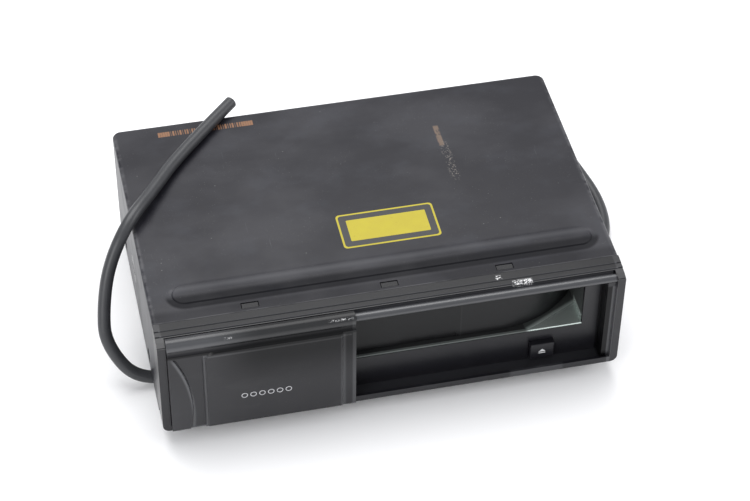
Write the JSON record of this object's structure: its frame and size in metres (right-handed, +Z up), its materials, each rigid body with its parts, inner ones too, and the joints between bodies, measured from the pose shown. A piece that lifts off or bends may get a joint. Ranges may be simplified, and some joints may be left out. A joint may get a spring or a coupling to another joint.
{
  "type": "car cd changer",
  "caption": "Flat box disc changer for a car boot: sliding front door, eject button, removable magazine with disc trays, lifting playing deck and control cable.",
  "frame": {"origin": "centre of the body's footprint, on the surface that the feet stand on", "axes": "+X along the front from left to right, +Y from the front to the back, +Z up"},
  "size_m": [0.3129, 0.2435, 0.0868],
  "materials": {
    "cover_steel": "satin near-black paint on sheet steel, handled",
    "zinc_steel": "zinc-plated sheet",
    "bright_steel": "bright plated sheet",
    "black_abs": "fine-grained black moulding",
    "magazine_plastic": "satin black moulding",
    "tray_plastic": "thin black moulding",
    "white_pom": "milky low-friction plastic",
    "dark_part": "moulded packages",
    "board_green": "solder-masked glass board",
    "spring_steel": "drawn and ground steel",
    "cast_alloy": "pressure die casting",
    "brass_alloy": "turned",
    "lens_glass": "coated moulded lens",
    "disc_face": "reflective data side",
    "soft_rubber": "matt moulded rubber",
    "black_screw": "blackened steel",
    "cable_jacket": "soft matt black jacket"
  },
  "bodies": {
    "case": {"top_cover": "cover_steel", "bottom_chassis": "zinc_steel", "front_bezel": "black_abs", "button_spring": "spring_steel", "eject_switch": "dark_part", "switch_board": "board_green", "magazine_bay": "bright_steel", "bay_roof": "bright_steel", "gear_axle": "spring_steel", "lift_motor": "bright_steel", "gear_plate": "zinc_steel", "lift_plate": "zinc_steel", "guide_posts": "spring_steel", "floating_base": "zinc_steel", "rubber_dampers": "soft_rubber", "board_standoffs": "zinc_steel", "main_board": "board_green", "board_parts": "dark_part", "rubber_feet": "soft_rubber", "foot_inserts": "brass_alloy", "cover_screws": "black_screw", "cable": "cable_jacket", "cable_gland": "soft_rubber"},
    "door": {"sliding_door": "black_abs"},
    "button": {"eject_button": "black_abs"},
    "magazine": {"magazine_shell": "magazine_plastic", "disc_tray_1": "tray_plastic", "disc_1": "disc_face", "disc_tray_2": "tray_plastic", "disc_2": "disc_face", "disc_tray_3": "tray_plastic", "disc_3": "disc_face", "disc_tray_4": "tray_plastic", "disc_4": "disc_face", "disc_tray_5": "tray_plastic", "disc_5": "disc_face"},
    "top_tray": {"disc_tray_6": "tray_plastic", "disc_6": "disc_face"},
    "deck": {"deck_plate": "zinc_steel", "sled_rods": "spring_steel", "sled_motor": "bright_steel", "spindle_motor": "bright_steel", "clamp_pin": "spring_steel", "puller_rod": "spring_steel"},
    "pickup": {"pickup_sled": "cast_alloy", "pickup_lens": "lens_glass"},
    "sled_screw": {"lead_screw": "spring_steel"},
    "platter": {"turntable": "black_abs"},
    "clamp": {"clamp_arm": "zinc_steel"},
    "puck": {"clamp_puck": "black_abs"},
    "puller": {"tray_puller": "white_pom"},
    "cam": {"cam_slide": "zinc_steel"},
    "reduction": {"lift_gear": "white_pom"},
    "motor_gear": {"motor_pinion": "brass_alloy"},
    "dial_left": {"left_dial": "black_abs"},
    "dial_right": {"right_dial": "black_abs"}
  },
  "joints": [
    {"name": "door_slide", "type": "slide", "parent": "case", "child": "door", "axis": [1, 0, 0], "range_m": [0, 0.1444]},
    {"name": "button_press", "type": "slide", "parent": "case", "child": "button", "axis": [0, 1, 0], "range_m": [0, 0.0015], "stiffness_N_per_m": 300, "springref_m": -0.001},
    {"name": "magazine_slide", "type": "slide", "parent": "case", "child": "magazine", "axis": [0, 1, 0], "range_m": [-0.14, 0]},
    {"name": "tray_slide", "type": "slide", "parent": "magazine", "child": "top_tray", "axis": [-1, 0, 0], "range_m": [0, 0.097]},
    {"name": "deck_lift", "type": "slide", "parent": "case", "child": "deck", "axis": [0, 0, 1], "range_m": [-0.02, 0.002]},
    {"name": "pickup_travel", "type": "slide", "parent": "deck", "child": "pickup", "axis": [-1, 0, 0], "range_m": [0, 0.033]},
    {"name": "screw_turn", "type": "hinge", "parent": "deck", "child": "sled_screw", "pos_m": [-0.095, -0.03665, 0.0429], "axis": [-1, 0, 0], "continuous": true},
    {"name": "platter_turn", "type": "hinge", "parent": "deck", "child": "platter", "pos_m": [-0.0535, -0.00565, 0.0543], "axis": [0, 0, 1], "continuous": true},
    {"name": "clamp_lower", "type": "hinge", "parent": "deck", "child": "clamp", "pos_m": [-0.0535, 0.0663, 0.0605], "axis": [1, 0, 0], "range_deg": [0, 5]},
    {"name": "puck_turn", "type": "hinge", "parent": "clamp", "child": "puck", "pos_m": [-0.0535, -0.00551, 0.06528], "axis": [0, 0.0872, 0.9962], "continuous": true},
    {"name": "puller_travel", "type": "slide", "parent": "deck", "child": "puller", "axis": [-1, 0, 0], "range_m": [0, 0.097]},
    {"name": "cam_travel", "type": "slide", "parent": "case", "child": "cam", "axis": [1, 0, 0], "range_m": [-0.002, 0.02]},
    {"name": "reduction_turn", "type": "hinge", "parent": "case", "child": "reduction", "pos_m": [0.008, 0.077, 0.06], "axis": [0, 1, 0], "continuous": true},
    {"name": "motor_turn", "type": "hinge", "parent": "case", "child": "motor_gear", "pos_m": [0.024, 0.076, 0.06], "axis": [0, 1, 0], "continuous": true},
    {"name": "left_dial_turn", "type": "hinge", "parent": "case", "child": "dial_left", "pos_m": [-0.1265, 0.01575, 0.036], "axis": [1, 0, 0], "range_deg": [0, 90]},
    {"name": "right_dial_turn", "type": "hinge", "parent": "case", "child": "dial_right", "pos_m": [0.1265, 0.01575, 0.036], "axis": [1, 0, 0], "range_deg": [0, 90]}
  ],
  "couplings": [
    {"joint": "screw_turn", "follows": "pickup_travel", "rad_per_m": 2094.4},
    {"joint": "puller_travel", "follows": "tray_slide", "ratio": 1},
    {"joint": "cam_travel", "follows": "deck_lift", "ratio": -1},
    {"joint": "reduction_turn", "follows": "deck_lift", "rad_per_m": 142.86},
    {"joint": "motor_turn", "follows": "deck_lift", "rad_per_m": -428.57}
  ]
}
